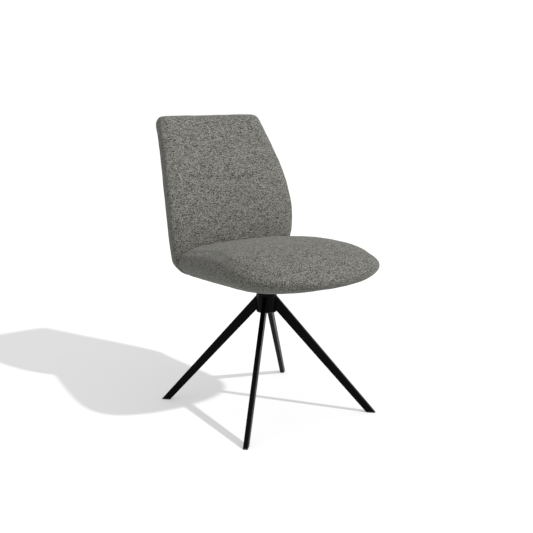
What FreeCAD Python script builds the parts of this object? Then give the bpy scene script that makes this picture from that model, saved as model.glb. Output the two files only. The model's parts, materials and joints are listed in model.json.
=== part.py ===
"""Upholstered swivel dining chair on a four-legged black steel base.

The origin is on the floor, straight below the swivel axis. +Z is up, the sitter looks along -Y
and the sitter's left hand is on +X. All lengths are millimetres and all angles are degrees.

The base stays still: a short column, four splayed tapered legs welded to it, a plastic glide in
each foot, and the bushes and ball race that guide the spindle. Everything above the ball race
turns with the spindle: the mounting plate, the plywood seat board and back board, the brackets
that join them, and the two upholstered cushions.
"""
import FreeCAD, Part
import math
import os

from FreeCAD import Vector

# Legs and feet
foot_reach = 333.0           # swivel axis to the outer end of a foot
foot_length = 27.3           # length of a leg's cut on the floor
leg_top_drop = 13.4          # column's upper end to a leg's upper edge where it meets the column
leg_bottom_lift = 1.7        # column's lower end to a leg's lower edge there
leg_thickness = 14.0         # width of a leg seen from above
leg_wall = 1.5
leg_edge_radius = 2.5
leg_names = ("front_left", "rear_left", "rear_right", "front_right")
first_leg_angle = -45.0      # from +X to the front left leg
glide_flange = 3.0           # plastic that shows below the end of the tube
glide_plug = 14.0            # plug height inside the tube
glide_clearance = 0.1

# Column, bushes and spindle
column_radius = 30.0
column_wall = 3.0
column_bottom = 302.0
column_height = 60.0
cap_flange = 2.0
cap_spigot = 6.0
snug_clearance = 0.05        # bush or cap in the column
running_clearance = 0.05     # spindle in its bushes
spindle_radius = 12.5
bush_length = 20.0
bush_flange = 3.0
lower_bush_lift = 15.7       # column's lower end to the underside of the lower bush
spindle_end_lift = 9.0       # column's lower end to the spindle's end
retaining_washer_width = 7.5
retaining_washer_thickness = 2.0
circlip_width = 4.3
circlip_thickness = 1.5
circlip_groove = 0.8         # depth of the groove in the spindle
circlip_gap = 30.0           # opening of the ring, degrees
stack_gap = 0.1              # play between parts that are stacked or screwed together

# Ball race
race_width = 15.5            # spindle to the outer edge of a race
race_thickness = 2.0
ball_radius = 3.0
ball_circle = 20.0
ball_count = 12
ball_gap = 0.05
ball_pocket_clearance = 0.1
cage_width = 7.0
cage_thickness = 3.0
collar_height = 6.0
neck_radius = 20.0
neck_height = 22.0           # collar to the underside of the seat board on the swivel axis

# Seat frame, measured in the tilted plane of the seat's underside
underside_slope = 0.0844     # rise of that plane per millimetre towards the front
dust_cover_thickness = 1.0
dust_cover_margin = 6.0      # cloth that laps past the edge of the board
plate_size = 190.0
plate_thickness = 4.0
plate_corner = 15.0
bolt_inset = 25.0            # edge of the plate to the middle of a bolt
bolt_radius = 4.0
bolt_hole_clearance = 0.4
bolt_head_radius = 7.0
bolt_head_height = 4.5
bolt_head_round = 2.2
bolt_length = 18.0
socket_radius = 2.9          # corner of the hexagon socket
socket_depth = 2.4
washer_radius = 9.0
washer_thickness = 1.6
nut_barrel_radius = 5.2
nut_barrel_length = 6.5
nut_flange_radius = 11.0
nut_flange_thickness = 1.5
board_thickness = 12.0
board_side_inset = 86.0      # widest line of the cushion to the side of the board
board_front_inset = 101.5    # nose of the cushion to the front of the board
board_rear_inset = 14.0
board_corner = 45.0

# Back frame
back_board_thickness = 10.0
back_board_margin = 40.0     # edge of the board to the edge of the cushion
back_board_start = 0.02      # share of the back's height where the board begins
back_board_end = 0.90
bracket_width = 40.0
bracket_thickness = 4.0
bracket_spread = 95.0        # centre plane of the chair to the middle of a bracket
bracket_foot = 65.0          # length of its flat end on the seat board
bracket_start = 0.06         # share of the back's height where the bracket meets the board
bracket_end = 0.21           # share where it ends
bracket_steps = 9            # straight pieces that follow the board's curve
screw_radius = 2.5
screw_length = 9.0
screw_head_radius = 4.5
screw_head_height = 2.4
screw_clearance = 0.1
screw_pitch = 20.0

# Seat cushion
seat_front = 335.0           # swivel axis to the nose
seat_rear = 184.0
seat_roll_start = 90.0       # swivel axis to where the top begins to roll over
seat_half_width = 220.5      # on the swivel axis
seat_widening = 0.089        # extra half width per millimetre towards the front
seam_lift = 48.4             # underside to the widest line of the cushion on the swivel axis
seam_slope = 0.040           # rise of that line per millimetre towards the front
crown_height = 69.1          # top of the cushion above its widest line
crown_drop = 28.9            # how much lower the crown is at the rear
belly_height = 71.8          # depth of the rounded underside before it is cut flat
belly_slope = 0.036          # loss of that depth per millimetre towards the front
nose_lip = 6.0               # height of the blunt edge at the nose
crown_power = 3.0            # the larger the power, the flatter the crown
crown_power_at_nose = 2.2
belly_power = 2.0
nose_in_plan = (3.5, 0.43)   # power and root that draw the sides in towards the nose
nose_on_top = (2.2, 1.1)     # the same for the fall of the crown
nose_of_lip = (7.0, 0.5)     # for the blunt edge
nose_below = (2.84, 0.40)    # and for the rise of the underside
nose_cut = 0.995             # share of the nose that is kept
nose_stations = 9
rear_stations = 5

# Back cushion, given on a spine that runs up the middle of its thickness
back_bottom_drop = 0.6       # underside of the seat board to the lower edge, on the swivel axis
back_height = 463.0
back_lean = (30.2, 5.4, 56.5, 149.6)                    # behind the seat, at thirds of the height
back_half_widths = (193.3, 222.0, 222.0, 204.2, 181.5)  # at quarters of the height
back_thickness = 58.0
back_power = 5.0
back_hollow = 4.0            # how far the side edges stand in front of the middle
back_top_corner = 18.7
back_top_round = 25.4
back_bottom_corner = 41.3
back_bottom_round = 19.2
back_stations = 8
edge_stations = 4
edge_start = 0.4             # first section from the end of a rounded edge
crease_lift = 276.0          # lower edge of the back to the lowest point of its curved crease
crease_rise = 30.0           # how much higher the crease's ends are
crease_half_width = 190.0
crease_radius = 7.0
crease_depth = 2.5

cushion_clearance = 0.3      # foam to a hard piece
cushion_gap = 0.6            # foam to foam
arc_count = 12               # arcs in one section of a cushion

# Values worked out from the ones above
column_top = column_bottom + column_height
column_bore = column_radius - column_wall
lower_race = column_top + bush_flange
ball_height = lower_race + race_thickness + ball_gap + ball_radius
upper_race = ball_height + ball_radius + ball_gap
race_radius = spindle_radius + race_width
collar_bottom = upper_race + race_thickness
neck_bottom = collar_bottom + collar_height
underside_height = neck_bottom + neck_height
lower_bush = column_bottom + lower_bush_lift
washer_bottom = lower_bush - stack_gap - retaining_washer_thickness
circlip_bottom = washer_bottom - stack_gap - circlip_thickness
tilt_angle = math.degrees(math.atan(underside_slope))
plate_bottom = -dust_cover_thickness - plate_thickness
board_half_width = seat_half_width - board_side_inset
board_front = seat_front - board_front_inset
board_rear = seat_rear - board_rear_inset
seam_height = underside_height + seam_lift
back_bottom = underside_height - back_bottom_drop
whole_model = 4 * (foot_reach + seat_front)   # longer than anything that a cutting block must cover
UP = Vector(0, 0, 1)


def cylinder(radius, bottom, height, x=0.0, y=0.0):
    """Upright cylinder that starts at the height bottom."""
    return Part.makeCylinder(radius, height, Vector(x, y, bottom))


def ring(outer, inner, bottom, height):
    """Upright ring round the swivel axis."""
    return cylinder(outer, bottom, height).cut(cylinder(inner, bottom, height))


def rounded_plate(half_width, front, rear, corner, bottom, height):
    """Flat plate from y = -front to y = rear with four rounded corners."""
    box = Part.makeBox(2 * half_width, front + rear, height, Vector(-half_width, -front, bottom))
    upright = [edge for edge in box.Edges if edge.BoundBox.ZLength > height / 2]
    return box.makeFillet(corner, upright)


def slab(bottom, depth):
    """Block that covers the whole model between two heights."""
    corner = Vector(-whole_model / 2, -whole_model / 2, bottom)
    return Part.makeBox(whole_model, whole_model, depth, corner)


def tilted(shape):
    """Move a shape from the plane z = 0 to the tilted plane of the seat's underside."""
    moved = shape.copy()
    moved.rotate(Vector(0, 0, 0), Vector(1, 0, 0), -tilt_angle)
    moved.translate(Vector(0, 0, underside_height))
    return moved


def tilted_point(x, y, z):
    return tilted(Part.Vertex(x, y, z)).Point


def joined(shapes):
    """One solid from shapes that touch or overlap."""
    return shapes[0].fuse(shapes[1:]).removeSplitter()


def turned(shape, angle):
    """Copy of a shape, turned about the swivel axis."""
    copy = shape.copy()
    copy.rotate(Vector(0, 0, 0), UP, angle)
    return copy


def closed_arcs(points):
    """Closed wire of three-point arcs: each takes two steps along the ring of points."""
    arcs = []
    count = len(points)
    for start in range(0, count, 2):
        trio = [points[(start + step) % count] for step in range(3)]
        arcs.append(Part.Arc(*trio).toShape())
    return Part.Wire(arcs)


def superellipse(angle, power):
    """Point of a unit superellipse: each coordinate is a cosine or sine raised to 2 / power."""
    c = math.cos(angle)
    s = math.sin(angle)
    return math.copysign(abs(c) ** (2 / power), c), math.copysign(abs(s) ** (2 / power), s)


def section_angles():
    """Angles of the points that the arcs of one cushion section pass through."""
    count = 2 * arc_count
    return [2 * math.pi * index / count for index in range(count)]


def spread(start, end, steps):
    """Evenly spaced values from start to end."""
    return [start + (end - start) * index / steps for index in range(steps + 1)]


def through(values, share):
    """Smooth curve through evenly spaced values, as one Lagrange polynomial."""
    places = spread(0, 1, len(values) - 1)
    total = 0.0
    for here, value in zip(places, values):
        term = value
        for other in places:
            if other != here:
                term *= (share - other) / (here - other)
        total += term
    return total


# Base

def leg_profile(inset):
    """Side outline of a leg in the plane of its splay, moved inwards by the wall or zero."""
    upper_foot = Vector(foot_reach, 0, 0)
    lower_foot = Vector(foot_reach - foot_length, 0, 0)
    upper_root = Vector(column_radius, 0, column_top - leg_top_drop)
    lower_root = Vector(column_radius, 0, column_bottom + leg_bottom_lift)
    ends = []
    for root, foot, side in ((upper_root, upper_foot, -1), (lower_root, lower_foot, 1)):
        along = (foot - root).normalize()
        normal = Vector(-along.z, 0, along.x) * (side * inset)
        overrun = along * column_radius
        ends.append((root + normal - overrun, foot + normal + overrun))
    (top_in, top_out), (low_in, low_out) = ends
    return [top_in, top_out, low_out, low_in]


def leg_bar(inset):
    """Solid bar with a leg's outline, before its ends are cut."""
    points = leg_profile(inset)
    face = Part.Face(Part.makePolygon(points + points[:1]))
    width = leg_thickness - 2 * inset
    bar = face.extrude(Vector(0, width, 0))
    bar.translate(Vector(0, -width / 2, 0))
    return bar


def make_leg():
    """Leg along +X with its glide: a tapered box tube and a plug with a flange below it."""
    bar = leg_bar(0)
    long_edges = [edge for edge in bar.Edges if edge.Length > foot_reach / 2]
    outer = bar.makeFillet(leg_edge_radius, long_edges)
    outer = outer.cut(cylinder(column_radius, 0, 2 * column_top))
    leg = outer.common(slab(glide_flange, column_top)).cut(leg_bar(leg_wall))
    flange = outer.common(slab(0, glide_flange))
    plug = leg_bar(leg_wall + glide_clearance).common(slab(glide_flange, glide_plug))
    return leg, joined([flange, plug])


def make_column():
    return ring(column_radius, column_bore, column_bottom, column_height)


def make_column_cap():
    """Press-in cup that closes the lower end of the column."""
    flange = cylinder(column_radius, column_bottom - cap_flange, cap_flange)
    spigot_radius = column_bore - snug_clearance
    spigot = ring(spigot_radius, spigot_radius - cap_flange, column_bottom, cap_spigot)
    return joined([flange, spigot])


def make_bush(bottom, flange):
    """Plain bush between column and spindle, with a flange on top where it has one."""
    bore = spindle_radius + running_clearance
    body = ring(column_bore - snug_clearance, bore, bottom, bush_length)
    if not flange:
        return body
    return joined([body, ring(column_radius, bore, bottom + bush_length, flange)])


def make_race(bottom):
    return ring(race_radius, spindle_radius + running_clearance, bottom, race_thickness)


def ball_places():
    """Centres of the balls on their circle."""
    turns = [2 * math.pi * index / ball_count for index in range(ball_count)]
    return [(ball_circle * math.cos(turn), ball_circle * math.sin(turn)) for turn in turns]


def make_balls():
    return Part.Compound([Part.makeSphere(ball_radius, Vector(x, y, ball_height))
                          for x, y in ball_places()])


def make_cage():
    """Flat plastic ring with a hole for each ball."""
    bottom = ball_height - cage_thickness / 2
    cage = ring(ball_circle + cage_width / 2, ball_circle - cage_width / 2, bottom, cage_thickness)
    hole = ball_radius + ball_pocket_clearance
    return cage.cut([cylinder(hole, bottom, cage_thickness, x, y) for x, y in ball_places()])


# Spindle and mounting plate

def make_spindle():
    """Turned spindle: journal, circlip groove, thrust collar and a neck welded to the plate."""
    end = column_bottom + spindle_end_lift
    journal = cylinder(spindle_radius, end, collar_bottom - end)
    groove = ring(spindle_radius, spindle_radius - circlip_groove, circlip_bottom, circlip_thickness)
    collar = cylinder(race_radius, collar_bottom, collar_height)
    neck = cylinder(neck_radius, neck_bottom, 2 * neck_height)
    above_plate = tilted(slab(plate_bottom, whole_model))
    return joined([journal.cut(groove), collar, neck.cut(above_plate)])


def make_retaining_washer():
    inner = spindle_radius + running_clearance
    return ring(inner + retaining_washer_width, inner, washer_bottom, retaining_washer_thickness)


def make_circlip():
    """Open spring ring that sits in the spindle's groove."""
    inner = spindle_radius - circlip_groove + running_clearance
    outer = inner + circlip_width
    whole = ring(outer, inner, circlip_bottom, circlip_thickness)
    gap = Part.makeCylinder(2 * outer, circlip_thickness, Vector(0, 0, circlip_bottom), UP,
                            circlip_gap)
    return whole.cut(gap)


def bolt_places():
    half = plate_size / 2 - bolt_inset
    return [(x, y) for x in (-half, half) for y in (-half, half)]


def bolt_discs(radius, bottom, height):
    """One disc at each bolt; also used as the holes that the bolts pass through."""
    return [cylinder(radius, bottom, height, x, y) for x, y in bolt_places()]


def make_plate():
    """Square steel plate that carries the seat board."""
    half = plate_size / 2
    plate = rounded_plate(half, half, half, plate_corner, plate_bottom, plate_thickness)
    holes = bolt_discs(bolt_radius + bolt_hole_clearance, plate_bottom, plate_thickness)
    return tilted(plate.cut(holes))


def make_washers():
    bottom = plate_bottom - washer_thickness
    discs = bolt_discs(washer_radius, bottom, washer_thickness)
    holes = bolt_discs(bolt_radius + bolt_hole_clearance, bottom, washer_thickness)
    return tilted(Part.Compound([disc.cut(hole) for disc, hole in zip(discs, holes)]))


def hexagon_socket(x, y, bottom):
    """Six-sided recess for the key, open downwards."""
    corners = []
    for index in range(7):
        turn = math.pi * index / 3
        corners.append(Vector(x + socket_radius * math.cos(turn), y + socket_radius * math.sin(turn),
                              bottom))
    return Part.Face(Part.makePolygon(corners)).extrude(UP * socket_depth)


def make_bolts():
    """Button-head bolts with a hexagon socket, from below through plate and board."""
    seat = plate_bottom - washer_thickness
    bottom = seat - bolt_head_height
    bolts = []
    for x, y in bolt_places():
        head = cylinder(bolt_head_radius, bottom, bolt_head_height, x, y)
        rim = [edge for edge in head.Edges if edge.BoundBox.ZMax < seat - bolt_head_height / 2]
        head = head.makeFillet(bolt_head_round, rim)
        shank = cylinder(bolt_radius, seat, bolt_length, x, y)
        bolts.append(joined([head.cut(hexagon_socket(x, y, bottom)), shank]))
    return tilted(Part.Compound(bolts))


def make_tee_nuts():
    """Flanged barrel nuts let into the top of the seat board."""
    flange_bottom = board_thickness - nut_flange_thickness
    barrel_bottom = flange_bottom - nut_barrel_length
    barrels = bolt_discs(nut_barrel_radius, barrel_bottom, nut_barrel_length)
    flanges = bolt_discs(nut_flange_radius, flange_bottom, nut_flange_thickness)
    threads = bolt_discs(bolt_radius + running_clearance, 0, board_thickness)
    return tilted(Part.Compound([joined([barrel, flange]).cut(thread)
                                 for barrel, flange, thread in zip(barrels, flanges, threads)]))


def make_dust_cover():
    """Thin black cloth that closes the seat's underside, above the plate."""
    cloth = rounded_plate(board_half_width + dust_cover_margin, board_front + dust_cover_margin,
                          board_rear + dust_cover_margin, board_corner + dust_cover_margin,
                          -dust_cover_thickness, dust_cover_thickness)
    holes = bolt_discs(bolt_radius + bolt_hole_clearance, -dust_cover_thickness,
                       dust_cover_thickness)
    return tilted(cloth.cut(holes))


# Seat board, back board and the brackets between them

def seat_board_blank(grow=0.0):
    """Outline of the seat board, made larger by grow on every side but the underside."""
    return rounded_plate(board_half_width + grow, board_front + grow, board_rear + grow,
                         board_corner + grow, 0, board_thickness + grow)


def make_seat_board():
    """Plywood board with holes for the bolts, the barrel nuts and the bracket screws."""
    barrels = bolt_discs(nut_barrel_radius + running_clearance, 0, board_thickness)
    flanges = bolt_discs(nut_flange_radius + running_clearance,
                         board_thickness - nut_flange_thickness, nut_flange_thickness)
    board = tilted(seat_board_blank().cut(barrels + flanges))
    return board.cut([screw_hole(place) for place in seat_screws()])


def spine(share):
    """Point of the back's spine, and the direction of its thickness there, towards the rear."""
    step = 1 / back_height
    rise = through(back_lean, share + step) - through(back_lean, share - step)
    point = Vector(0, seat_rear + through(back_lean, share), back_bottom + share * back_height)
    return point, Vector(0, 2, -rise).normalize()


def across_spine(share, offset):
    """Point at a distance behind the spine, square to it."""
    point, normal = spine(share)
    return point + normal * offset


def back_half_width(share):
    return through(back_half_widths, share)


def back_board_blank(grow=0.0):
    """Curved board in the middle of the back; grow makes its pocket."""
    reach = back_board_thickness / 2 + grow
    extra = grow / back_height
    wires = []
    for share in spread(back_board_start - extra, back_board_end + extra, back_stations):
        half = back_half_width(share) - back_board_margin + grow
        front = across_spine(share, -reach)
        rear = across_spine(share, reach)
        corners = [Vector(x, place.y, place.z)
                   for x, place in ((-half, front), (half, front), (half, rear), (-half, rear))]
        wires.append(Part.makePolygon(corners + corners[:1]))
    return Part.makeLoft(wires, True, False)


def make_back_board():
    return back_board_blank().cut([screw_hole(place) for place in back_screws()])


def bracket_route():
    """Line along the board faces that a bracket lies on: seat board, bend, back board."""
    foot = [tilted_point(0, y, board_thickness) for y in (board_rear - bracket_foot, board_rear)]
    face = back_board_thickness / 2 + stack_gap
    return foot + [across_spine(share, -face)
                   for share in spread(bracket_start, bracket_end, bracket_steps)]


def offset_line(points, distance, extra):
    """Line moved sideways in the YZ plane with mitred corners; its ends are longer by extra."""
    runs = [(after - before).normalize() for before, after in zip(points, points[1:])]
    sides = [Vector(0, -run.z, run.y) for run in runs]
    moved = []
    for point, before, after in zip(points, sides[:1] + sides, sides + sides[-1:]):
        moved.append(point + (before + after) * (distance / (1 + before.dot(after))))
    moved[0] = moved[0] - runs[0] * extra
    moved[-1] = moved[-1] + runs[-1] * extra
    return moved


def bracket_blank(centre, grow=0.0, head_room=0.0):
    """Cranked steel strap; grow and the room for screw heads make its pocket."""
    under = offset_line(bracket_route(), -grow, grow)
    over = offset_line(bracket_route(), bracket_thickness + grow + head_room, grow)
    outline = under + over[::-1]
    width = bracket_width + 2 * grow
    strap = Part.Face(Part.makePolygon(outline + outline[:1])).extrude(Vector(width, 0, 0))
    strap.translate(Vector(centre - width / 2, 0, 0))
    return strap


def bracket_centres():
    return (-bracket_spread, bracket_spread)


def seat_screws():
    """Places and directions of the screws that hold the brackets to the seat board."""
    down = tilted_point(0, 0, 0) - tilted_point(0, 0, 1)
    places = []
    for centre in bracket_centres():
        for step in (1, 2):
            y = board_rear - bracket_foot + step * screw_pitch
            places.append((tilted_point(centre, y, board_thickness + bracket_thickness), down))
    return places


def back_screws():
    """Places and directions of the screws that hold the brackets to the back board."""
    strap_face = back_board_thickness / 2 + stack_gap + bracket_thickness
    places = []
    for centre in bracket_centres():
        for step in (1, 2):
            share = bracket_end - step * screw_pitch / back_height
            normal = spine(share)[1]
            places.append((Vector(centre, 0, 0) + across_spine(share, -strap_face), normal))
    return places


def screw_hole(place):
    """Hole for one screw through strap and board."""
    point, direction = place
    return Part.makeCylinder(screw_radius + screw_clearance, screw_length, point, direction)


def make_screw(place):
    """Pan-head screw whose head lies on the strap."""
    point, direction = place
    top = point - direction * screw_head_height
    head = Part.makeCylinder(screw_head_radius, screw_head_height, top, direction)
    return joined([head, Part.makeCylinder(screw_radius, screw_length, point, direction)])


def make_brackets():
    holes = [screw_hole(place) for place in seat_screws() + back_screws()]
    return Part.Compound([bracket_blank(centre).cut(holes) for centre in bracket_centres()])


def make_bracket_screws():
    return Part.Compound([make_screw(place) for place in seat_screws() + back_screws()])


# Upholstery

def taper(share, shape):
    """Fall from 1 to 0 along the nose: one less a power of the share, raised to a root."""
    power, root = shape
    return (1 - share ** power) ** root


def seat_section(y):
    """Upright section across the seat cushion: a flat crown above, a rounder belly below."""
    roll = max((-seat_roll_start - y) / (seat_front - seat_roll_start), 0)
    rear = max((y + seat_roll_start) / (seat_rear + seat_roll_start), 0)
    half = (seat_half_width - seat_widening * y) * taper(roll, nose_in_plan)
    seam = seam_height - seam_slope * y
    crown = crown_height - crown_drop * rear ** 2 - nose_lip
    top = crown * taper(roll, nose_on_top) + nose_lip * taper(roll, nose_of_lip)
    belly = (belly_height + belly_slope * y) * taper(roll, nose_below)
    upper_power = crown_power + (crown_power_at_nose - crown_power) * roll
    points = []
    for angle in section_angles():
        upper = math.sin(angle) >= 0
        x, z = superellipse(angle, upper_power if upper else belly_power)
        points.append(Vector(half * x, y, seam + z * (top if upper else belly)))
    return closed_arcs(points)


def seat_blank():
    """Whole seat cushion before its underside is cut flat; its sections crowd at the nose."""
    nose_depth = nose_cut * (seat_front - seat_roll_start)
    stations = [-seat_roll_start - nose_depth * math.sin(turn)
                for turn in spread(math.pi / 2, 0, nose_stations)]
    stations += spread(-seat_roll_start, seat_rear, rear_stations)[1:]
    return Part.makeLoft([seat_section(y) for y in stations], True, False)


def rounding(distance, radius):
    """How far a quarter-round edge draws in at a distance from the end."""
    near = min(max(1 - distance / radius, 0), 1)
    return radius * (1 - math.sqrt(1 - near * near))


def back_section(share, grow):
    """Section square to the spine, drawn in where it nears the top and the bottom edge."""
    below_top = (1 - share) * back_height
    above_bottom = share * back_height
    half = back_half_width(share) + grow
    half -= rounding(below_top, back_top_corner) + rounding(above_bottom, back_bottom_corner)
    front = back_thickness / 2 + grow - rounding(below_top, back_top_round)
    rear = front - rounding(above_bottom, back_bottom_round)
    points = []
    for angle in section_angles():
        x, across = superellipse(angle, back_power)
        offset = (rear - front) / 2 + across * (rear + front) / 2 - back_hollow * x * x
        place = across_spine(share, offset)
        points.append(Vector(half * x, place.y, place.z))
    return closed_arcs(points)


def edge_distances(radius):
    """Distances from the end of the back to its sections, close together where it is round."""
    return [edge_start + (radius - edge_start) * (1 - math.cos(turn))
            for turn in spread(0, math.pi / 2, edge_stations)]


def back_blank(grow=0.0):
    """Whole back cushion; grow makes the room that the seat cushion leaves for it."""
    low = [distance / back_height for distance in edge_distances(back_bottom_corner)]
    high = [1 - distance / back_height for distance in edge_distances(back_top_round)]
    shares = low + spread(low[-1], high[-1], back_stations)[1:-1] + high[::-1]
    return Part.makeLoft([back_section(share, grow) for share in shares], True, False)


def crease_tool():
    """Curved round bar that presses the smiling crease into the front of the backrest."""
    reach = back_thickness / 2 + crease_radius - crease_depth
    points = []
    for x, rise in ((-crease_half_width, crease_rise), (0, 0), (crease_half_width, crease_rise)):
        points.append(Vector(x, 0, 0) + across_spine((crease_lift + rise) / back_height, -reach))
    path = Part.Wire(Part.Arc(*points).toShape())
    start = path.Edges[0]
    circle = Part.makeCircle(crease_radius, points[0], start.tangentAt(start.FirstParameter))
    return path.makePipeShell([Part.Wire(circle)], True, False)


def bracket_pockets():
    return [bracket_blank(centre, cushion_clearance, screw_head_height)
            for centre in bracket_centres()]


def make_seat_cushion():
    """Seat cushion with room for the board, the brackets and the back."""
    below_board = tilted(slab(-whole_model, whole_model))
    board_pocket = tilted(seat_board_blank(cushion_clearance))
    cushion = seat_blank().cut([below_board, back_blank(cushion_gap)])
    return cushion.cut([board_pocket] + bracket_pockets())


def make_back_cushion():
    """Back cushion with its crease and with room for the board and the brackets."""
    cushion = back_blank().cut(crease_tool())
    return cushion.cut([back_board_blank(cushion_clearance)] + bracket_pockets())


def main():
    nodes = {}
    leg, glide = make_leg()
    for index, name in enumerate(leg_names):
        angle = first_leg_angle + 360 * index / len(leg_names)
        nodes["leg_" + name] = turned(leg, angle)
        nodes["foot_glide_" + name] = turned(glide, angle)
    nodes["column_tube"] = make_column()
    nodes["column_cap"] = make_column_cap()
    nodes["lower_bush"] = make_bush(lower_bush, 0)
    nodes["upper_bush"] = make_bush(column_top - bush_length, bush_flange)
    nodes["lower_race"] = make_race(lower_race)
    nodes["bearing_balls"] = make_balls()
    nodes["ball_cage"] = make_cage()
    nodes["upper_race"] = make_race(upper_race)
    nodes["spindle"] = make_spindle()
    nodes["retaining_washer"] = make_retaining_washer()
    nodes["circlip"] = make_circlip()
    nodes["mounting_plate"] = make_plate()
    nodes["plate_washers"] = make_washers()
    nodes["plate_bolts"] = make_bolts()
    nodes["tee_nuts"] = make_tee_nuts()
    nodes["dust_cover"] = make_dust_cover()
    nodes["seat_board"] = make_seat_board()
    nodes["back_board"] = make_back_board()
    nodes["back_brackets"] = make_brackets()
    nodes["bracket_screws"] = make_bracket_screws()
    nodes["seat_cushion"] = make_seat_cushion()
    nodes["back_cushion"] = make_back_cushion()
    os.makedirs("parts", exist_ok=True)
    for name, shape in nodes.items():
        shape.exportStep("parts/" + name + ".step")
        print(name, len(shape.Solids), shape.isValid(), round(shape.Volume / 1000, 2), "cm3")


main()
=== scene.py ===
# %% [markdown]
# # An upholstered swivel chair, dressed around its construction model
#
# The chair is already built as a construction model: legs, column, bearing, plate, boards and a
# plain solid for each cushion. This lesson gives it its looks. The steel, plastic, plywood and
# lining parts keep their shape and get a finish. The two cushions are modelled again as
# upholstery, and small things are added that only the eye needs: welds, staples and a seam cord.
#
# All lengths are metres. The floor is z = 0, the swivel axis is x = y = 0, the sitter looks
# along -Y and has the left hand on +X.

import json

import bmesh
import bpy
import numpy as np
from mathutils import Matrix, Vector
from mathutils.bvhtree import BVHTree


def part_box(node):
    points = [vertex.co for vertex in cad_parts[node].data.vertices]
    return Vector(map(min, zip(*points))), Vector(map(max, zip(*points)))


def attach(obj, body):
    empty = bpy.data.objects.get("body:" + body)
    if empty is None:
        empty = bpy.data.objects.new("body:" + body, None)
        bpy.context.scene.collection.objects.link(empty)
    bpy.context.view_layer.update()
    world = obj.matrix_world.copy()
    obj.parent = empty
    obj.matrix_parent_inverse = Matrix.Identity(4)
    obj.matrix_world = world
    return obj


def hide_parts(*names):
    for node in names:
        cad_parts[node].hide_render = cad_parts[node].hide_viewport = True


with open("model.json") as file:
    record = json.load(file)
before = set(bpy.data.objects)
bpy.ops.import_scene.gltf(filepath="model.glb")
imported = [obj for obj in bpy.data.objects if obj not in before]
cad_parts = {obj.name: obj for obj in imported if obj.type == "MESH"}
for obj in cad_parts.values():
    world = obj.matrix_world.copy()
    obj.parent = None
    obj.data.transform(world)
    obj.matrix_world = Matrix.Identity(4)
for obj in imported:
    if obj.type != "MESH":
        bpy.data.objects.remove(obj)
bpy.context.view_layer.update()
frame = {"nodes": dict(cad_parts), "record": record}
nodes = frame["nodes"]


# %% [markdown]
# ## Camera
#
# The camera comes first. It stands to the chair's front right, a little higher than the backrest,
# and looks at the middle of the chair's height. A picture as wide as the sensor sees
# 2 * atan(sensor / 2 / lens) across.

# %% Camera
scene = bpy.context.scene
camera_place = Vector((-1.39395, -1.99122, 0.94892))
camera_target = Vector((0.0, 0.0, 0.43596))
picture_width = 533
focal_pixels = 836.2

camera_data = bpy.data.cameras.new("camera")
camera_data.sensor_width = 36.0
camera_data.lens = camera_data.sensor_width * focal_pixels / picture_width
camera = bpy.data.objects.new("camera", camera_data)
camera.location = camera_place
camera.rotation_euler = (camera_target - camera_place).to_track_quat("-Z", "Y").to_euler()
scene.collection.objects.link(camera)
scene.camera = camera
print("camera at", [round(value, 3) for value in camera_place], "lens", round(camera_data.lens, 2))


# %% [markdown]
# ## From a formula to a mesh
#
# Each new surface is a stack of closed rings: one array of shape (rings, points per ring, 3). Two
# neighbouring rings make a band of four-sided faces. Where the last ring shrinks to one point, its
# copies of that point are merged, so the surface is closed there.

# %% Rings to mesh
merge_distance = 1e-6


def link_piece(name, mesh):
    """Object at the origin that holds a mesh, placed in the scene."""
    piece = bpy.data.objects.new(name, mesh)
    scene.collection.objects.link(piece)
    return piece


def grid_faces(rows, columns):
    """Four-sided faces between a grid's neighbours; the last column joins the first."""
    index = np.arange(rows * columns).reshape(rows, columns)
    after = np.roll(index, -1, axis=1)
    return np.stack([index[:-1], after[:-1], after[1:], index[1:]], axis=-1).reshape(-1, 4)


def ring_mesh(name, rings):
    """Closed mesh from an array of rings: shape (rings, points, 3)."""
    mesh = bpy.data.meshes.new(name)
    faces = grid_faces(rings.shape[0], rings.shape[1])
    mesh.from_pydata(rings.reshape(-1, 3), [], faces)
    tidy = bmesh.new()
    tidy.from_mesh(mesh)
    bmesh.ops.remove_doubles(tidy, verts=tidy.verts, dist=merge_distance)
    bmesh.ops.recalc_face_normals(tidy, faces=tidy.faces)
    tidy.to_mesh(mesh)
    tidy.free()
    mesh.shade_smooth()
    return mesh


def read_points(mesh):
    """Vertex positions as an array of shape (vertices, 3)."""
    points = np.empty(len(mesh.vertices) * 3)
    mesh.vertices.foreach_get("co", points)
    return points.reshape(-1, 3)


def read_normals(mesh):
    """Vertex normals as an array of shape (vertices, 3)."""
    normals = np.empty(len(mesh.vertices) * 3, dtype=np.float32)
    mesh.vertex_normals.foreach_get("vector", normals)
    return normals.reshape(-1, 3).astype(float)


def write_points(mesh, points):
    """Puts an array of positions into the mesh."""
    mesh.vertices.foreach_set("co", points.ravel())
    mesh.update()


def finished_mesh(piece):
    """The piece's mesh with its modifiers carried out."""
    graph = bpy.context.evaluated_depsgraph_get()
    return bpy.data.meshes.new_from_object(piece.evaluated_get(graph))


# %% [markdown]
# ## The shapes that both cushions share
#
# A section through a cushion is a superellipse: a box with soft corners, whose corners grow
# sharper as its power rises. Steps of equal angle would crowd its points at the corners and leave
# its flat sides bare, so the angles are picked at equal steps along the curve.

# %% Superellipse
curve_samples = 40001


def superellipse(angle, power):
    """Unit superellipse: the cosine and the sine, each raised to 2 / power, with their signs."""
    across = np.cos(angle)
    upward = np.sin(angle)
    return (np.sign(across) * np.abs(across) ** (2 / power),
            np.sign(upward) * np.abs(upward) ** (2 / power))


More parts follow.
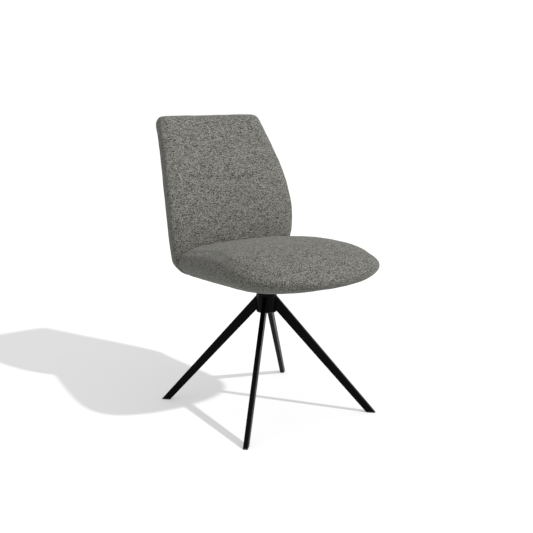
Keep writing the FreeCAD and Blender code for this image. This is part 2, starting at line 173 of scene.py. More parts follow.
def even_angles(power, width, height, count):
    """Angles at equal steps along the curve: dense points, added lengths, read back evenly."""
    dense = np.linspace(0, 2 * np.pi, curve_samples)
    x, z = superellipse(dense, power)
    length = np.append(0, np.cumsum(np.hypot(np.diff(width * x), np.diff(height * z))))
    return np.interp(np.arange(count) * length[-1] / count, length, dense)


def rounding(distance, radius):
    """How far a quarter-round edge draws in at a distance from the end: r - sqrt(r^2 - left^2)."""
    near = np.clip(1 - distance / radius, 0, 1)
    return radius * (1 - np.sqrt(1 - near ** 2))


def through(values, share):
    """Smooth curve through evenly spaced values: the Lagrange polynomial."""
    places = np.linspace(0, 1, len(values))
    total = 0
    for here, value in zip(places, values):
        others = places[places != here]
        factors = (np.asarray(share)[..., None] - others) / (here - others)
        total = total + value * factors.prod(axis=-1)
    return total


# %% [markdown]
# ## Backrest: its form
#
# The backrest is a slab of foam round a curved plywood board. Its middle follows a spine that
# leans back more and more. Its outline is narrow at the top, widest below the middle, and drawn in
# again where it meets the seat.

# %% Backrest form
underside_slope = 0.0844
seat_rear = 0.184
back_bottom = 0.4025
back_height = 0.463
back_lean = (0.0302, 0.0054, 0.0565, 0.1496)
back_half_widths = (0.1933, 0.222, 0.222, 0.2042, 0.1815)
back_thickness = 0.058
back_power = 5.0
back_hollow = 0.004
back_top_corner = 0.0155
back_top_round = 0.0225
back_bottom_corner = 0.0413
back_bottom_round = 0.0192
spine_step = 0.001
cap_rings = 6
end_rings = 16
middle_rings = 80
back_points = 260


def spine_place(share):
    """Spine's place (y, z) at a share of the height, and its normal: the slope turned a quarter."""
    step = spine_step / back_height
    rise = through(back_lean, share + step) - through(back_lean, share - step)
    length = np.hypot(2 * spine_step, rise)
    return (seat_rear + through(back_lean, share), back_bottom + share * back_height,
            2 * spine_step / length, -rise / length)


def back_ring(share, angle, shrink=1.0):
    """Section square to the spine: superellipse, drawn in by the rounded ends and hollowed."""
    below_top = (1 - share) * back_height
    above_bottom = share * back_height
    half = through(back_half_widths, share)
    half = half - rounding(below_top, back_top_corner) - rounding(above_bottom, back_bottom_corner)
    front = back_thickness / 2 - rounding(below_top, back_top_round)
    rear = front - rounding(above_bottom, back_bottom_round)
    x, across = superellipse(angle, back_power)
    across = across * shrink
    x = x * shrink
    offset = (rear - front) / 2 + across * (rear + front) / 2 - back_hollow * x ** 2
    y, z, normal_y, normal_z = spine_place(share)
    return np.stack([half * x, y + normal_y * offset, z + normal_z * offset], axis=-1)


def back_form():
    """Rings from the bottom to the top, close together at the rounded ends, with flat caps."""
    turn = np.linspace(0, np.pi / 2, end_rings)
    low = back_bottom_corner * (1 - np.cos(turn)) / back_height
    high = 1 - back_top_round * (1 - np.cos(turn))[::-1] / back_height
    middle = np.linspace(low[-1], high[0], middle_rings)[1:-1]
    shares = np.concatenate([np.zeros(cap_rings), low, middle, high, np.ones(cap_rings)])
    shrinks = np.ones_like(shares)
    shrinks[:cap_rings] = np.linspace(0, 1, cap_rings + 1)[:-1]
    shrinks[-cap_rings:] = np.linspace(1, 0, cap_rings + 1)[1:]
    angle = even_angles(back_power, back_half_widths[1], back_thickness / 2, back_points)
    return back_ring(shares[:, None], angle[None, :], shrinks[:, None])


back_rings = back_form()
print("backrest rings", back_rings.shape[:2], "top at", round(back_rings[..., 2].max(), 4))


# %% [markdown]
# ## Seat: its form
#
# The seat is wider at the front than at the rear. Seen from above its sides draw in to a rounded
# nose, and seen from the side its crown rolls over to a blunt lip. Below its widest line it is
# rounder, and it is flat where it lies on the plywood board. Two soft limits do the rest: one
# keeps it above the board's underside, the other keeps it in front of the backrest.

# %% Seat form
underside_height = 0.4031
seat_front = 0.335
seat_roll_start = 0.090
seat_half_width = 0.2205
seat_widening = 0.089
seam_height = 0.4515
seam_slope = 0.040
crown_height = 0.0691
crown_drop = 0.0289
belly_height = 0.0718
belly_slope = 0.0364
nose_lip = 0.006
crown_power = 3.0
crown_power_at_nose = 2.2
belly_power = 2.0
nose_in_plan = (3.54, 0.427)
nose_on_top = (2.2, 1.1)
nose_of_lip = (7.0, 0.5)
nose_below = (2.84, 0.40)
underside_edge = 0.004
rear_edge = 0.006
cushion_gap = 0.0012
nose_rings = 70
plain_rings = 60
rear_rings = 12
seat_points = 320


def taper(share, power, root):
    """Fall from 1 to 0 along the nose: one less a power of the share, raised to a root."""
    return np.clip(1 - share ** power, 0, 1) ** root


def soft_limit(value, limit, radius):
    """The larger of two values, with a rounded corner where they meet: a smooth maximum."""
    return (value + limit + np.sqrt((value - limit) ** 2 + radius ** 2 * 0.5)) / 2


cover_low, cover_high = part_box("dust_cover")
cover_middle = (cover_low[1] + cover_high[1]) / 2
cover_half_length = (cover_high[1] - cover_low[1]) / 2
cover_half_width = cover_high[0]
cover_corner = 0.051
sag_depth = 0.0026
sag_width = 0.030


def beyond_cover(x, y):
    """Distance outside the dust cover's rounded rectangle, and negative inside it."""
    side = np.abs(x) - cover_half_width + cover_corner
    length = np.abs(y - cover_middle) - cover_half_length + cover_corner
    outside = np.hypot(np.maximum(side, 0), np.maximum(length, 0))
    return outside + np.minimum(np.maximum(side, length), 0) - cover_corner


def underside(x, y):
    """Tilted plane of the board, which sags by a smooth step outside the dust cover."""
    step = np.clip(beyond_cover(x, y) / sag_width, 0, 1)
    sag = sag_depth * step ** 2 * (3 - 2 * step)
    return underside_height - underside_slope * y - sag


def back_face(x, z):
    """Front of the backrest at (x, z): spine less the superellipse's half depth, and hollowed."""
    share = (z - back_bottom) / back_height
    y, _, normal_y, _ = spine_place(share)
    half = through(back_half_widths, share)
    half = half - rounding(share * back_height, back_bottom_corner)
    across = np.clip(np.abs(x) / half, 0, 1)
    depth = back_thickness / 2 * (1 - across ** back_power) ** (1 / back_power)
    return y - (depth + back_hollow * across ** 2) / normal_y


def seat_form():
    """Rings from the nose to the rear; the last ones close the rear on the middle line."""
    roll_depth = seat_front - seat_roll_start
    turn = np.linspace(np.pi / 2, 0, nose_rings)
    nose = -seat_roll_start - roll_depth * np.sin(turn)
    plain = np.linspace(-seat_roll_start, seat_rear, plain_rings)[1:]
    y = np.concatenate([nose, plain, np.full(rear_rings, seat_rear)])[:, None]
    shrink = np.ones_like(y)
    shrink[-rear_rings:, 0] = np.linspace(1, 0, rear_rings + 1)[1:]
    roll = np.clip((-seat_roll_start - y) / roll_depth, 0, 1)
    rear = np.clip((y + seat_roll_start) / (seat_rear + seat_roll_start), 0, None)
    half = (seat_half_width - seat_widening * y) * taper(roll, *nose_in_plan)
    seam = seam_height - seam_slope * y
    crown = crown_height - crown_drop * rear ** 2 - nose_lip
    top = crown * taper(roll, *nose_on_top) + nose_lip * taper(roll, *nose_of_lip)
    belly = (belly_height + belly_slope * y) * taper(roll, *nose_below)
    upper = even_angles(crown_power, seat_half_width, crown_height, seat_points)
    upper = upper[upper < np.pi]
    lower = even_angles(belly_power, seat_half_width, belly_height, seat_points)
    lower = lower[lower >= np.pi]
    power = crown_power + (crown_power_at_nose - crown_power) * roll
    x_above, z_above = superellipse(upper[None, :], power)
    x_below, z_below = superellipse(np.broadcast_to(lower, (len(y), len(lower))), belly_power)
    x = half * np.concatenate([x_above, x_below], axis=1)
    z = np.concatenate([z_above * top, z_below * belly], axis=1)
    return np.stack([x * shrink, np.broadcast_to(y, x.shape), seam + z * shrink], axis=-1)


def hold_seat(points):
    """Soft limits on the seat: above the underside plane, and in front of the backrest."""
    x, y, z = points[..., 0], points[..., 1], points[..., 2]
    z = soft_limit(z, underside(x, y), underside_edge)
    y = -soft_limit(-y, cushion_gap - back_face(x, z), rear_edge)
    return np.stack([x, y, z], axis=-1)


seat_rings = hold_seat(seat_form())
print("seat rings", seat_rings.shape[:2], "nose at", round(seat_rings[..., 1].min(), 4))


# %% [markdown]
# ## Stuffing a cover
#
# Real upholstery is a cover pulled over foam: the foam pushes outwards, the cloth holds it back,
# and the surface between its edges swells a little. A cloth simulation does that. The form starts
# slightly too small, is remeshed into even faces, and air pressure swells it. Freely, the faces
# would bulge and the edges draw in, as on a pillow. Firm foam allows little of that, so the relief
# that the simulation finds is kept within a millimetre or two, and the chair keeps its outline.

# %% Cloth simulation
voxel = 0.005
start_smaller = 0.003
most_move = 0.007
most_swell = 0.0020
most_dip = 0.0008
pressure = 4.0
frames = 20


def remeshed(name, mesh):
    """Copy of a mesh with even faces: Blender's voxel remesh."""
    piece = link_piece(name, mesh)
    remesh = piece.modifiers.new("even faces", "REMESH")
    remesh.mode = "VOXEL"
    remesh.voxel_size = voxel
    even = finished_mesh(piece)
    bpy.data.objects.remove(piece)
    return even


def swell(mesh):
    """Inflates a closed mesh as cloth and gives its points; no point moves further than the cap."""
    before = read_points(mesh)
    piece = link_piece("stuffing", mesh)
    cloth = piece.modifiers.new("stuffing", "CLOTH")
    cloth.settings.quality = 6
    cloth.settings.use_pressure = True
    cloth.settings.uniform_pressure_force = pressure
    cloth.settings.effector_weights.gravity = 0.0
    cloth.point_cache.frame_end = frames
    for step in range(1, frames + 1):
        scene.frame_set(step)
    settled = finished_mesh(piece)
    moved = read_points(settled) - before
    length = np.linalg.norm(moved, axis=1, keepdims=True)
    moved = moved * np.minimum(1, most_move / np.maximum(length, 1e-9))
    scene.frame_set(1)
    bpy.data.objects.remove(piece)
    bpy.data.meshes.remove(settled)
    return before + moved


def stuffed(name, rings, hold_of):
    """Cushion mesh: form made smaller, remeshed, swollen, and subdivided once."""
    form = ring_mesh(name, rings)
    points = read_points(form)
    hold = hold_of(points)
    write_points(form, points - read_normals(form) * start_smaller * (1 - hold)[:, None])
    even = remeshed(name, form)
    points = read_points(even)
    normals = read_normals(even)
    hold = hold_of(points)
    rise = np.full(len(points), start_smaller)
    outward = ((swell(even.copy()) - points) * normals).sum(axis=1)
    mean = outward[hold < 0.5].mean()
    print(name, "swelled", round(mean * 1000, 2), "mm on average")
    rise = rise + np.clip(outward - mean, -most_dip, most_swell)
    write_points(even, points + normals * (rise * (1 - hold))[:, None])
    piece = link_piece(name, even)
    smooth = piece.modifiers.new("finer", "SUBSURF")
    smooth.levels = 1
    smooth.render_levels = 1
    fine = finished_mesh(piece)
    piece.modifiers.clear()
    piece.data = fine
    fine.shade_smooth()
    print(name, len(fine.polygons), "faces")
    return piece


# %% [markdown]
# ## Seat cushion
#
# The seat's cover is stapled to its board and pressed against the backrest, so it can't swell
# there. A hold of 1 keeps those faces where the form put them, and it fades out beside them.

# %% Seat cushion
hold_width = 0.02


def seat_hold(points):
    """1 on the flat underside and on the rear that leans on the backrest, falling to 0 nearby."""
    above = points[:, 2] - underside(points[:, 0], points[:, 1])
    before_back = back_face(points[:, 0], points[:, 2]) - points[:, 1]
    near = np.minimum(above, before_back)
    return np.clip(1 - near / hold_width, 0, 1)


seat_cushion = stuffed("seat_cushion_cover", seat_rings, seat_hold)


# %% [markdown]
# ## Backrest cushion
#
# The backrest is covered all round, and its board is inside the foam. Nothing holds its cover
# from outside, so the hold is 0 everywhere.

# %% Backrest cushion
def back_hold(points):
    """The backrest may swell everywhere."""
    return np.zeros(len(points))


back_cushion = stuffed("back_cushion_cover", back_rings, back_hold)


# %% [markdown]
# ## Creases
#
# After the cover is stuffed, its folds are pressed in along the surface normals. The backrest has
# one long smiling crease with a soft ridge below it, and four faint short folds near its sides.
# At last both covers are made a little uneven, as foam under cloth always is.

# %% Press the creases
crease_lift = 0.276
crease_rise = 0.030
crease_half_width = 0.190
crease_depth = 0.0048
crease_width = 0.009
ridge_height = 0.0028
ridge_drop = 0.020
ridge_width = 0.016
facing_gain = 1.5
facing_start = 0.3
fade_power = 6
fold_slope = 0.25
side_folds = ((-0.150, 0.318, 0.030, 0.0012), (0.155, 0.312, 0.028, 0.0012),
              (-0.185, 0.120, 0.022, 0.0010), (0.190, 0.105, 0.022, 0.0010))
fold_width = 0.007
uneven_height = 0.0005
second_wave = 0.6
wave_steps = np.array(((41, 17, 23), (-19, 37, 52), (71, -29, 35), (-33, 64, -58)), dtype=float)
wave_starts = np.array((0.3, 1.1, 2.0, 0.7))


def press_back(mesh):
    """Moves points along their normals: a bell-shaped groove on a parabola, and a ridge below."""
    points = read_points(mesh)
    normals = read_normals(mesh)
    x = points[:, 0]
    height = points[:, 2] - back_bottom
    faces_front = np.clip(-normals[:, 1] * facing_gain - facing_start, 0, 1)
    line = crease_lift + crease_rise * (x / crease_half_width) ** 2
    fade = np.clip(1 - (np.abs(x) / crease_half_width) ** fade_power, 0, 1)
    groove = np.exp(-((height - line) / crease_width) ** 2) * crease_depth
    ridge = np.exp(-((height - line + ridge_drop) / ridge_width) ** 2) * ridge_height
    push = (ridge - groove) * fade * faces_front
    for side_x, side_height, length, depth in side_folds:
        along = (x - side_x) / length
        away = (height - side_height - fold_slope * (x - side_x)) / fold_width
        push = push - depth * np.exp(-along ** 2 - away ** 2) * faces_front
    write_points(mesh, points + normals * push[:, None])


def make_uneven(mesh):
    """Moves points along their normals by a product of slow sines, as foam under cloth lies."""
    points = read_points(mesh)
    waves = np.sin(points @ wave_steps.T + wave_starts)
    push = uneven_height * (waves[:, 0] * waves[:, 1] + second_wave * waves[:, 2] * waves[:, 3])
    write_points(mesh, points + read_normals(mesh) * push[:, None])


press_back(back_cushion.data)
for cushion in (seat_cushion, back_cushion):
    make_uneven(cushion.data)
print("creases pressed", crease_depth * 1000, "mm deep, cover uneven by", uneven_height * 1000, "mm")


# %% [markdown]
# ## Node tools
#
# A material is a tree of nodes. This helper adds one node, gives its sockets a value or a link,
# and hands it back. A second one starts a node group with named sockets.

# %% Node helpers
def add_node(tree, kind, inputs=None, **settings):
    """Node of a kind; each input is a plain value or an output socket to link from."""
    node = tree.nodes.new(kind)
    for name, value in settings.items():
        setattr(node, name, value)
    for name, value in (inputs or {}).items():
        if isinstance(value, bpy.types.NodeSocket):
            tree.links.new(value, node.inputs[name])
        else:
            node.inputs[name].default_value = value
    return node


def new_group(name, inputs, outputs):
    """Node group; inputs and outputs are (name, socket type, default) triples."""
    group = bpy.data.node_groups.new(name, "ShaderNodeTree")
    for direction, sockets in (("INPUT", inputs), ("OUTPUT", outputs)):
        for socket_name, kind, default in sockets:
            socket = group.interface.new_socket(socket_name, in_out=direction, socket_type=kind)
            if default is not None:
                socket.default_value = default
    start = group.nodes.new("NodeGroupInput")
    end = group.nodes.new("NodeGroupOutput")
    return group, start, end


def maths(tree, operation, first, second=0.0, third=0.0):
    """Output of one Math node."""
    node = add_node(tree, "ShaderNodeMath", {0: first, 1: second, 2: third}, operation=operation)
    return node.outputs[0]


def remap(tree, value, low, high, to_low, to_high):
    """Value moved from one range to another, and kept inside it."""
    node = add_node(tree, "ShaderNodeMapRange", {"Value": value, "From Min": low,
                    "From Max": high, "To Min": to_low, "To Max": to_high})
    return node.outputs["Result"]


def mix_colour(tree, factor, first, second):
    """Output of one Mix node on colours."""
    node = tree.nodes.new("ShaderNodeMix")
    node.data_type = "RGBA"
    for socket, value in ((node.inputs[0], factor), (node.inputs[6], first),
                          (node.inputs[7], second)):
        if isinstance(value, bpy.types.NodeSocket):
            tree.links.new(value, socket)
        else:
            socket.default_value = value
    return node.outputs[2]


def new_material(name):
    """Material with only an output; its tree and its output node."""
    material = bpy.data.materials.new(name)
    material.use_nodes = True
    material.node_tree.nodes.clear()
    output = material.node_tree.nodes.new("ShaderNodeOutputMaterial")
    return material, material.node_tree, output


# %% [markdown]
# ## Melange weave
#
# The cover is woven from thick soft yarns in light and dark greys, so each knot of the weave has
# its own grey. Cells of a Voronoi pattern are those knots. They are nearly twice as long across
# the chair as along it, because the weft lies across. Slow noise adds the cloudy mottling, and
# stretched noise adds the slubs, where a yarn is thicker and lighter for a centimetre or two.

# %% Melange weave group
knot_stretch = (0.55, 1.0, 1.0)
wander_scale = 260.0
wander_reach = 0.0009
slub_scale = (90.0, 620.0, 620.0)
cloud_scale = 45.0
fibre_scale = 1500.0
knot_share = 0.80
slub_share = 0.70
slub_offset = -0.22
cloud_share = 0.08
fibre_share = 0.50
darkest_share = 0.18
lightest_share = 0.90


def melange_weave():
    """Group: knots with a random grey, slubs, mottling and fibres; puts out colour and height."""
    group, start, end = new_group(
        "melange_weave",
        [("Place", "NodeSocketVector", None), ("Knot", "NodeSocketFloat", 0.0030),
         ("Dark Yarn", "NodeSocketColor", (0.03, 0.03, 0.03, 1)),
         ("Light Yarn", "NodeSocketColor", (0.4, 0.4, 0.4, 1))],
        [("Color", "NodeSocketColor", None), ("Height", "NodeSocketFloat", None)])
    stretched = add_node(group, "ShaderNodeMapping", {"Vector": start.outputs["Place"],
                         "Scale": knot_stretch}).outputs[0]
    wander = add_node(group, "ShaderNodeTexNoise", {"Vector": start.outputs["Place"],
                      "Scale": wander_scale, "Detail": 1.0}).outputs["Color"]
    wander = add_node(group, "ShaderNodeVectorMath", {0: wander, 1: (0.5, 0.5, 0.5)},
                      operation="SUBTRACT").outputs[0]
    wander = add_node(group, "ShaderNodeVectorMath", {0: wander, "Scale": wander_reach},
                      operation="SCALE").outputs[0]
    lie = add_node(group, "ShaderNodeVectorMath", {0: stretched, 1: wander}).outputs[0]
    count = maths(group, "DIVIDE", 1.0, start.outputs["Knot"])
    knots = add_node(group, "ShaderNodeTexVoronoi", {"Vector": lie, "Scale": count})
    grey = add_node(group, "ShaderNodeSeparateColor", {"Color": knots.outputs["Color"]})
    slubs = add_node(group, "ShaderNodeTexNoise", {"Vector": add_node(
        group, "ShaderNodeMapping", {"Vector": lie, "Scale": slub_scale}).outputs[0],
        "Scale": 1.0, "Detail": 2.0}).outputs["Fac"]
    clouds = add_node(group, "ShaderNodeTexNoise", {"Vector": start.outputs["Place"],
                      "Scale": cloud_scale, "Detail": 3.0}).outputs["Fac"]
    fibres = add_node(group, "ShaderNodeTexNoise", {"Vector": lie, "Scale": fibre_scale,
                      "Detail": 3.0}).outputs["Fac"]
    cloud = maths(group, "MULTIPLY_ADD", clouds, cloud_share, -cloud_share / 2)
    fibre = maths(group, "MULTIPLY_ADD", fibres, fibre_share, -fibre_share / 2)
    share = maths(group, "MULTIPLY_ADD", grey.outputs[0], knot_share,
                  maths(group, "MULTIPLY_ADD", slubs, slub_share, slub_offset))
    share = maths(group, "ADD", share, cloud)
    share = maths(group, "ADD", share, fibre)
    share = remap(group, share, darkest_share, lightest_share, 0.0, 1.0)
    colour = mix_colour(group, share, start.outputs["Dark Yarn"], start.outputs["Light Yarn"])
    bulge = remap(group, knots.outputs["Distance"], 0.0, 0.8, 1.0, 0.0)
    height = maths(group, "MULTIPLY_ADD", fibres, 0.25, bulge)
    group.links.new(colour, end.inputs["Color"])
    group.links.new(height, end.inputs["Height"])
    return group


weave_group = melange_weave()
print("group", weave_group.name, "with", len(weave_group.nodes), "nodes")


# %% Grey fabric material
def grey_fabric():
    """Woven melange: rough, with a soft sheen where the light grazes its fibres."""
    material, tree, output = new_material("grey_melange_fabric")
    place = add_node(tree, "ShaderNodeTexCoord").outputs["Object"]
    weave = add_node(tree, "ShaderNodeGroup", {}, node_tree=weave_group)
    tree.links.new(place, weave.inputs["Place"])
    weave.inputs["Knot"].default_value = 0.0013
    weave.inputs["Dark Yarn"].default_value = (0.010, 0.0098, 0.0085, 1)
    weave.inputs["Light Yarn"].default_value = (0.275, 0.272, 0.243, 1)
    bump = add_node(tree, "ShaderNodeBump", {"Height": weave.outputs["Height"], "Strength": 0.4,
                    "Distance": 0.0004})
    shader = add_node(tree, "ShaderNodeBsdfPrincipled", {
        "Base Color": weave.outputs["Color"], "Roughness": 0.92, "Specular IOR Level": 0.2,
        "Sheen Weight": 0.12, "Sheen Roughness": 0.45, "Normal": bump.outputs[0]})
    tree.links.new(shader.outputs[0], output.inputs[0])
    return material


fabric = grey_fabric()
for cushion in (seat_cushion, back_cushion):
    cushion.data.materials.clear()
    cushion.data.materials.append(fabric)
print("fabric with", len(fabric.node_tree.nodes), "nodes on 2 cushions")


# %% [markdown]
# ## Grain of the hard finishes
#
# Powder coat is a smooth black skin with a fine orange peel, and zinc is a cloudy light metal.
# Moulded plastic, beech and lining cloth have a grain too. One group of fine and coarse noise
# serves all five, and each material gives it its own sizes.

# %% Grain group
def surface_grain():
    """Group: fine and coarse noise; puts out a mask of clouds and a height for bumps."""
    group, start, end = new_group(
        "surface_grain",
        [("Place", "NodeSocketVector", None), ("Grain", "NodeSocketFloat", 0.001),
         ("Cloud", "NodeSocketFloat", 0.03)],
        [("Mask", "NodeSocketFloat", None), ("Height", "NodeSocketFloat", None)])
    fine = add_node(group, "ShaderNodeTexNoise", {
        "Vector": start.outputs["Place"], "Detail": 2.0,
        "Scale": maths(group, "DIVIDE", 1.0, start.outputs["Grain"])}).outputs["Fac"]
    coarse = add_node(group, "ShaderNodeTexNoise", {
        "Vector": start.outputs["Place"], "Detail": 4.0,
        "Scale": maths(group, "DIVIDE", 1.0, start.outputs["Cloud"])}).outputs["Fac"]
    group.links.new(coarse, end.inputs["Mask"])
    group.links.new(fine, end.inputs["Height"])
    return group


grain_group = surface_grain()


def grained(name, dark, light, rough, bump_depth, grain, cloud, **shader_values):
    """Material whose colour and roughness wander between two values with the grain's clouds."""
    material, tree, output = new_material(name)
    place = add_node(tree, "ShaderNodeTexCoord").outputs["Object"]
    texture = add_node(tree, "ShaderNodeGroup", {}, node_tree=grain_group)
    tree.links.new(place, texture.inputs["Place"])
    texture.inputs["Grain"].default_value = grain
    texture.inputs["Cloud"].default_value = cloud
    colour = mix_colour(tree, texture.outputs["Mask"], (*dark, 1), (*light, 1))
    roughness = remap(tree, texture.outputs["Mask"], 0.3, 0.7, *rough)
    bump = add_node(tree, "ShaderNodeBump", {"Height": texture.outputs["Height"],
                    "Strength": 0.5, "Distance": bump_depth})
    shader = add_node(tree, "ShaderNodeBsdfPrincipled", {
        "Base Color": colour, "Roughness": roughness, "Normal": bump.outputs[0],
        **shader_values})
    tree.links.new(shader.outputs[0], output.inputs[0])
    return material


# %% [markdown]
# ## Finishes of the construction pieces
#
# The construction pieces keep their meshes and get a finish by their material slot. Grain and
# cloud are the sizes of the fine and the coarse noise, and bump depth is how deep the grain is.

# %% Finishes
finishes = {
    "black_steel": grained(
        "black_powder_coat", dark=(0.0008, 0.0008, 0.0008), light=(0.002, 0.002, 0.002),
        rough=(0.30, 0.42), bump_depth=0.00006, grain=0.0007, cloud=0.05,
        **{"Specular IOR Level": 0.05}),
    "bare_steel": grained(
        "zinc_plate", dark=(0.45, 0.46, 0.47), light=(0.66, 0.67, 0.68),
        rough=(0.25, 0.42), bump_depth=0.00003, grain=0.0004, cloud=0.004, Metallic=1.0),
    "black_plastic": grained(
        "moulded_plastic", dark=(0.008, 0.008, 0.009), light=(0.014, 0.014, 0.015),
        rough=(0.45, 0.60), bump_depth=0.00006, grain=0.0006, cloud=0.02),
    "plywood": grained(
        "beech_plywood", dark=(0.36, 0.22, 0.11), light=(0.56, 0.40, 0.23),
        rough=(0.55, 0.75), bump_depth=0.0001, grain=0.0008, cloud=0.02),
    "black_cloth": grained(
        "lining_cloth", dark=(0.008, 0.008, 0.008), light=(0.02, 0.02, 0.02),
        rough=(0.85, 0.98), bump_depth=0.0002, grain=0.0009, cloud=0.003)}

slot_of = {part["node"]: part["material_slot"] for part in frame["record"]["subparts"]}
for node_name, node_object in nodes.items():
    finish = finishes.get(slot_of[node_name])
    if finish:
        node_object.data.materials.clear()
        node_object.data.materials.append(finish)
print("finished", sum(slot in finishes for slot in slot_of.values()), "construction pieces")


# %% [markdown]
# ## Small things for the eye
#
# Weld beads, a seam cord and staples are left. Beads and cord are both tubes along a path, so one
# function makes both: at each point of the path a circle stands square to it.

# %% Tube along a path
tube_sides = 10


def tube_rings(path, outward, radius, ripple, ripple_length):
    """Circles square to a path: outward and a side direction, times a radius that ripples."""
    along = np.gradient(path, axis=0)
    along /= np.linalg.norm(along, axis=1, keepdims=True)
    side = np.cross(along, outward)
    side /= np.linalg.norm(side, axis=1, keepdims=True)
    up = np.cross(side, along)
    steps = np.linalg.norm(np.diff(path, axis=0), axis=1)
    travelled = np.append(0, np.cumsum(steps))
    thick = radius * (1 + ripple * np.cos(2 * np.pi * travelled / ripple_length))
    turn = np.arange(tube_sides) * 2 * np.pi / tube_sides
    circle = up[:, None] * np.cos(turn)[:, None] + side[:, None] * np.sin(turn)[:, None]
    return path[:, None] + circle * thick[:, None, None]


def finished_piece(name, mesh, body, finish):
    """Piece with its finish and the body that it rides on."""
    piece = link_piece(name, mesh)
    mesh.materials.append(finish)
    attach(piece, body)
    return piece


# %% [markdown]
# ## Weld beads
#
# Each leg is welded to the column all round its root. A bead is a thin ridge with a ripple for
# each step of the torch, so it is a tube whose radius rises and falls along a rounded rectangle.

# %% Weld beads
column_low, column_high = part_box("column_tube")
column_radius = column_high[0]
weld_above_bottom = 0.0017
weld_below_top = 0.0134
weld_low = column_low[2] + weld_above_bottom
weld_high = column_high[2] - weld_below_top
weld_half_width = 0.0070
weld_corner = 0.0030
weld_radius = 0.0013
weld_ripple = 0.14
weld_ripple_length = 0.0016
weld_points = 420
loop_samples = 401
first_leg = -np.pi / 4


def rounded_loop(half_width, half_height, corner, count):
    """Closed rounded rectangle: four quarter circles joined by straight runs, evenly spaced."""
    turn = np.linspace(0, 2 * np.pi, loop_samples)
    x = np.sign(np.cos(turn)) * (half_width - corner) + corner * np.cos(turn)
    z = np.sign(np.sin(turn)) * (half_height - corner) + corner * np.sin(turn)
    length = np.append(0, np.cumsum(np.hypot(np.diff(x), np.diff(z))))
    place = np.linspace(0, length[-1], count)
    return np.interp(place, length, x), np.interp(place, length, z)


def weld_bead(angle):
    """Rounded rectangle laid on the column: it follows the circle sideways, and is straight upwards."""
    half_height = (weld_high - weld_low) / 2
    sideways, upwards = rounded_loop(weld_half_width, half_height, weld_corner, weld_points)
    around = angle + np.arcsin(sideways / column_radius)
    outward = np.stack([np.cos(around), np.sin(around), np.zeros_like(around)], axis=1)
    path = outward * column_radius
    path[:, 2] = (weld_low + weld_high) / 2 + upwards
    rings = tube_rings(path, outward, weld_radius, weld_ripple, weld_ripple_length)
    rings[-1] = rings[0]
    return rings


for index, corner_name in enumerate(("front_left", "rear_left", "rear_right", "front_right")):
    bead = ring_mesh("weld", weld_bead(first_leg + index * np.pi / 2))
    finished_piece("weld_" + corner_name, bead, "base", finishes["black_steel"])
print("4 weld beads, each", round((weld_high - weld_low) * 1000), "mm high")


# %% [markdown]
# ## Seam cord
#
# The cover's front and rear panels meet in a seam along the rear edge of the backrest, where a
# thin cord is sewn in. The seam's path is worked out on the form and then laid on the stuffed
# cushion, so that the cord lies on the cloth wherever the cloth has swelled.

# %% Seam cord on the backrest
seam_radius = 0.0011
seam_ripple = 0.10
seam_ripple_length = 0.0035
seam_offset = 0.62
seam_start = 0.10
seam_below_top = 0.3
seam_samples = 60
seam_points = 900
smoothing_points = 23


def seam_path():
    """Up one side of the backrest, over its top and down the other, near its rear edge."""
    side = np.arcsin(seam_offset ** (back_power / 2))
    rise = np.linspace(seam_start, 1 - back_top_corner / back_height, seam_samples)
    left = back_ring(rise, np.full(seam_samples, side))
    over = np.linspace(side, np.pi - side, seam_samples)
    share = 1 - seam_below_top * back_top_round / back_height
    top = back_ring(np.full(seam_samples, share), over)
    path = np.concatenate([left, top, left[::-1] * (-1, 1, 1)])
    length = np.append(0, np.cumsum(np.linalg.norm(np.diff(path, axis=0), axis=1)))
    place = np.linspace(0, length[-1], seam_points)
    return np.stack([np.interp(place, length, path[:, axis]) for axis in range(3)], axis=1)


def lay_on(path, piece):
    """Nearest points of a piece's surface, and its normals there, both smoothed along the path."""
    tree = BVHTree.FromPolygons([vertex.co for vertex in piece.data.vertices],
                                [face.vertices for face in piece.data.polygons])
    found = [tree.find_nearest(point) for point in path]
    window = np.hanning(smoothing_points)
    window /= window.sum()
    margin = smoothing_points // 2
    smooth = []
    for values in (np.array([hit[0] for hit in found]), np.array([hit[1] for hit in found])):
        padded = np.pad(values, ((margin, margin), (0, 0)), mode="edge")
        smooth.append(np.stack([np.convolve(padded[:, axis], window, mode="valid")
                                for axis in range(3)], axis=1))
    return smooth


seam_places, seam_outward = lay_on(seam_path(), back_cushion)
seam_rings = tube_rings(seam_places, seam_outward, seam_radius, seam_ripple, seam_ripple_length)
seam_rings = np.concatenate([seam_places[:1, None].repeat(tube_sides, axis=1), seam_rings,
                             seam_places[-1:, None].repeat(tube_sides, axis=1)])
finished_piece("back_seam_cord", ring_mesh("seam", seam_rings), "seat", fabric)
print("seam cord with", len(seam_places), "rings")


# %% [markdown]
# ## Staples
#
# The dust cover is a thin cloth that closes the seat from below, and staples along its edge hold
# it to the board. The crown of a staple is a short flat wire, so a low block is enough for it.

# %% Staples in the dust cover
staple_length = 0.010
staple_width = 0.0012
staple_height = 0.0005
staple_inset = 0.004
staple_count = 36
cover_thickness = 0.001


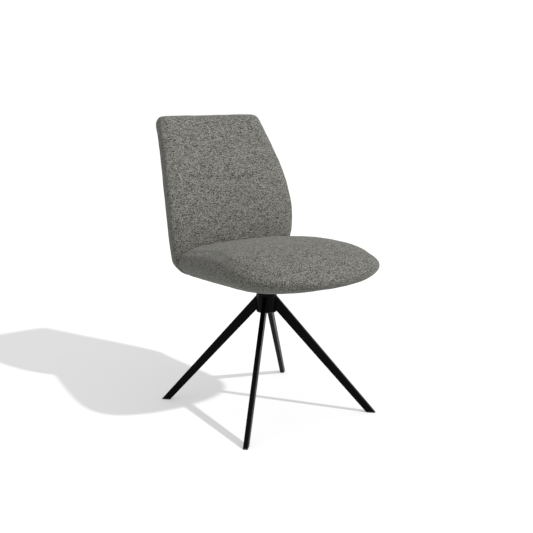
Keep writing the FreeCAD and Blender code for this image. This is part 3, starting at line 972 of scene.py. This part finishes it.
def staples():
    """Flat blocks along the cover's edge: one block's corners, turned and moved for each staple."""
    x, y = rounded_loop(cover_half_width - staple_inset, cover_half_length - staple_inset,
                        cover_corner, staple_count + 1)
    direction = np.arctan2(np.gradient(y), np.gradient(x))[:-1, None]
    flat = ((-1, -1), (1, -1), (1, 1), (-1, 1))
    corners = np.array([(along, across, up) for up in (-1, 0) for along, across in flat])
    along = corners[:, 0] * staple_length / 2
    across = corners[:, 1] * staple_width / 2
    place_x = x[:-1, None] + along * np.cos(direction) - across * np.sin(direction)
    place_y = cover_middle + y[:-1, None] + along * np.sin(direction) + across * np.cos(direction)
    plane = underside_height - underside_slope * place_y - cover_thickness
    points = np.stack([place_x, place_y, plane + corners[:, 2] * staple_height], axis=-1)
    block = np.array(((0, 3, 2, 1), (4, 5, 6, 7), (0, 1, 5, 4),
                      (1, 2, 6, 5), (2, 3, 7, 6), (3, 0, 4, 7)))
    faces = block[None] + 8 * np.arange(staple_count)[:, None, None]
    mesh = bpy.data.meshes.new("staples")
    mesh.from_pydata(points.reshape(-1, 3), [], faces.reshape(-1, 4))
    return mesh


finished_piece("dust_cover_staples", staples(), "seat", finishes["bare_steel"])
print(staple_count, "staples")


# %% [markdown]
# ## Floor and light
#
# The chair stands on a white floor in a white room. A sun from the right, about 40 degrees up,
# throws the shadow to the left. About a third of the floor's white is a glow that lights nothing,
# and the rest comes from the lamps, so it is white in the light and pale grey in the shadow.

# %% Floor, world and sun
floor_size = 30.0
floor_paint = 0.65
floor_glow = 0.36
corner = floor_size / 2
floor_mesh = bpy.data.meshes.new("floor")
floor_mesh.from_pydata([(-corner, -corner, 0), (corner, -corner, 0), (corner, corner, 0),
                        (-corner, corner, 0)], [], [(0, 1, 2, 3)])
floor = link_piece("floor", floor_mesh)


def seen_ray(tree):
    """1 for a ray from the camera, a mirror or a glass, and 0 for a ray that lights a surface."""
    path = add_node(tree, "ShaderNodeLightPath")
    seen = maths(tree, "MAXIMUM", path.outputs["Is Camera Ray"], path.outputs["Is Glossy Ray"])
    return maths(tree, "MAXIMUM", seen, path.outputs["Is Transmission Ray"])


def white_floor():
    """Diffuse pale paint plus a glow that only seen rays meet."""
    material, tree, output = new_material("white_floor")
    paint = add_node(tree, "ShaderNodeBsdfDiffuse", {
        "Color": (floor_paint, floor_paint, floor_paint, 1)})
    glow = add_node(tree, "ShaderNodeEmission", {
        "Color": (1, 1, 1, 1), "Strength": maths(tree, "MULTIPLY", seen_ray(tree), floor_glow)})
    both = add_node(tree, "ShaderNodeAddShader", {0: paint.outputs[0], 1: glow.outputs[0]})
    tree.links.new(both.outputs[0], output.inputs[0])
    return material


floor.data.materials.append(white_floor())

ambient = 0.60
world = bpy.data.worlds.new("white_room")
world.use_nodes = True
world_tree = world.node_tree
world_tree.nodes.clear()
sky = add_node(world_tree, "ShaderNodeBackground", {
    "Color": (1, 1, 1, 1),
    "Strength": remap(world_tree, seen_ray(world_tree), 0.0, 1.0, ambient, 1.0)})
add_node(world_tree, "ShaderNodeOutputWorld", {"Surface": sky.outputs[0]})
scene.world = world

sun_direction = Vector((0.50, -1.04, 1.0))
sun_data = bpy.data.lights.new("sun", "SUN")
sun_data.energy = 2.6
sun_data.angle = 0.03
sun = bpy.data.objects.new("sun", sun_data)
sun.rotation_euler = sun_direction.to_track_quat("Z", "Y").to_euler()
scene.collection.objects.link(sun)
scene.view_settings.view_transform = "Standard"
sun_height = np.degrees(np.arcsin(sun_direction.z / sun_direction.length))
print("sun", round(sun_height), "degrees up, strength", round(sun_data.energy, 2))


# %% [markdown]
# ## Joining the pieces to the chair
#
# Each new piece rides on the body that carries it, so it turns with the seat. The cushions stand
# for the plain solids of the construction model.

# %% Ride and replace
for cushion, node_name in ((seat_cushion, "seat_cushion"), (back_cushion, "back_cushion")):
    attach(cushion, "seat")
    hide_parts(node_name)
    print(cushion.name, "rides on seat and stands for", node_name)
